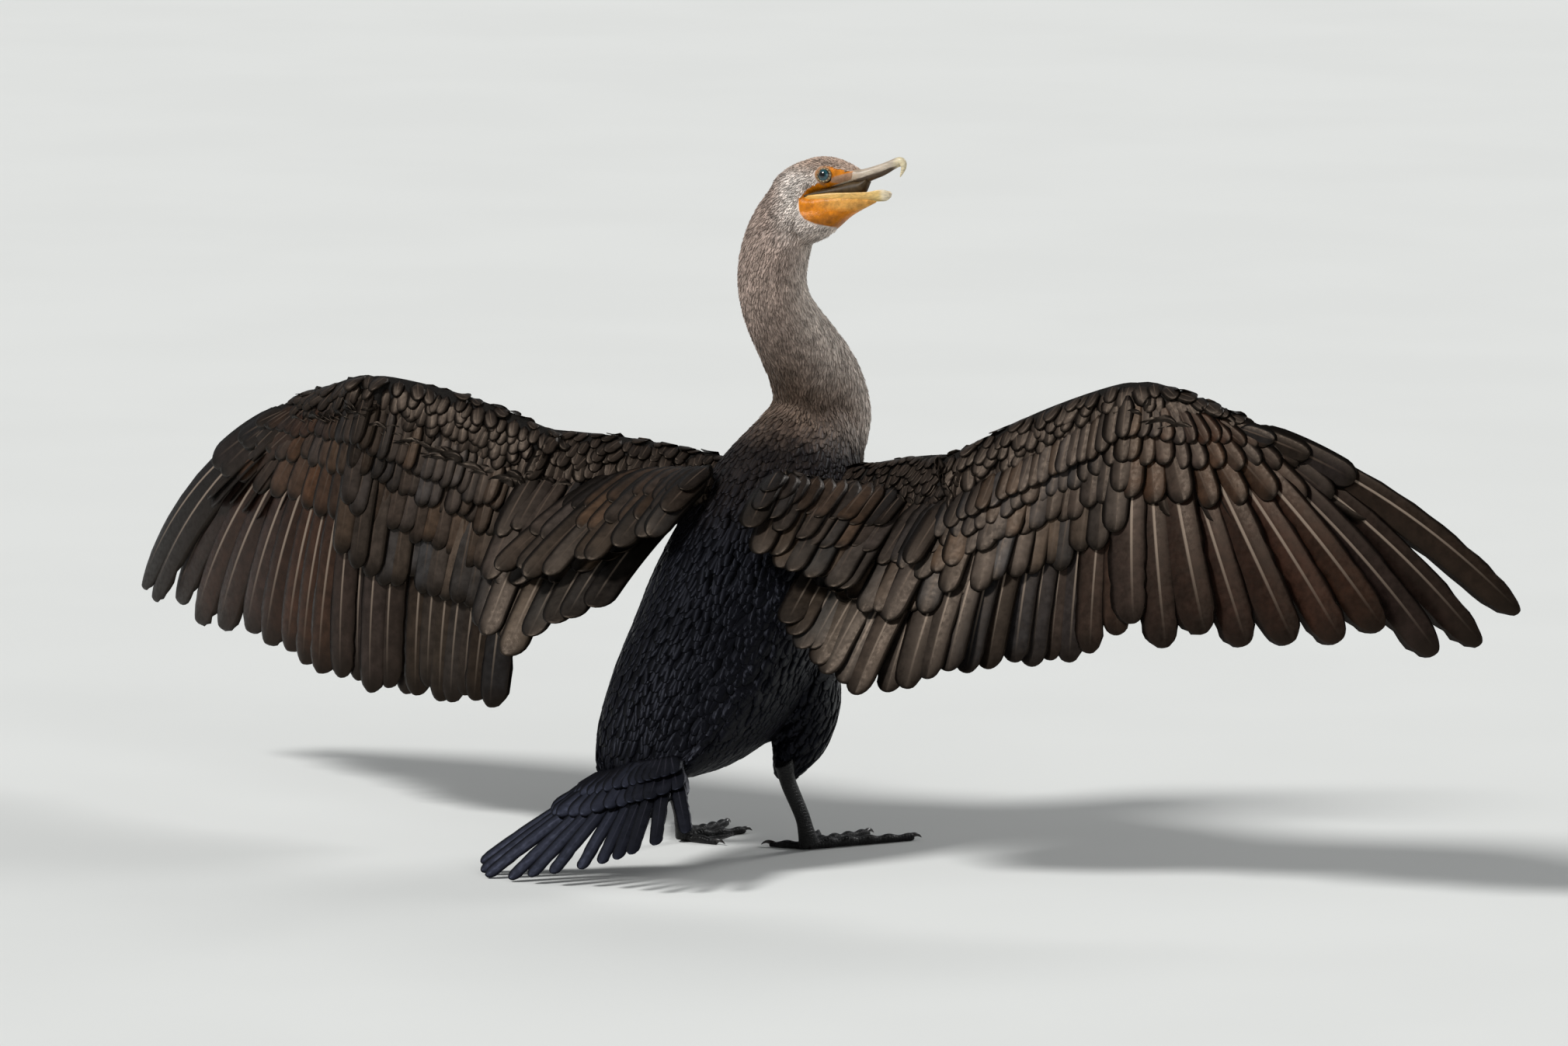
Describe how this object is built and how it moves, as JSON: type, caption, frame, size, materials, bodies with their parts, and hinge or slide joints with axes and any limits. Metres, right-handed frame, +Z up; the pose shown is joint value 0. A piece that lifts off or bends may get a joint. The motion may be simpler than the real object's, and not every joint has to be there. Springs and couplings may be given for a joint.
{
  "type": "cormorant",
  "caption": "Young cormorant standing with both wings spread to dry, head turned over its shoulder, hooked bill open, tail fanned to the ground.",
  "frame": {"origin": "centre of the whole bird's box, at ground level", "axes": "+Z up, +Y the way the body faces, +X the bird's right side; the head looks to +X and the wings lie roughly along X"},
  "size_m": [1.2268, 0.381, 0.5122],
  "materials": {
    "body_feathers": "soft, near-black with a blue-grey sheen",
    "neck_feathers": "soft, speckled buff-brown",
    "wing_feathers": "satin, brown-black vanes with pale shafts",
    "tail_feathers": "satin, blue-black",
    "bill_horn": "satin horn, grey-cream",
    "orange_skin": "bare orange-yellow skin",
    "eye": "wet gloss, teal iris",
    "leg_skin": "black scaled skin"
  },
  "bodies": {
    "root": {"bill_lower": "orange_skin", "bill_upper": "bill_horn", "eye_left": "eye", "eye_right": "eye", "foot_left": "leg_skin", "foot_right": "leg_skin", "gular_pouch": "orange_skin", "head": "neck_feathers", "neck_lower": "neck_feathers", "neck_upper": "neck_feathers", "shank_left": "leg_skin", "shank_right": "leg_skin", "tail": "tail_feathers", "thigh_left": "body_feathers", "thigh_right": "body_feathers", "torso": "body_feathers", "wing_left": "wing_feathers", "wing_right": "wing_feathers"}
  },
  "joints": []
}
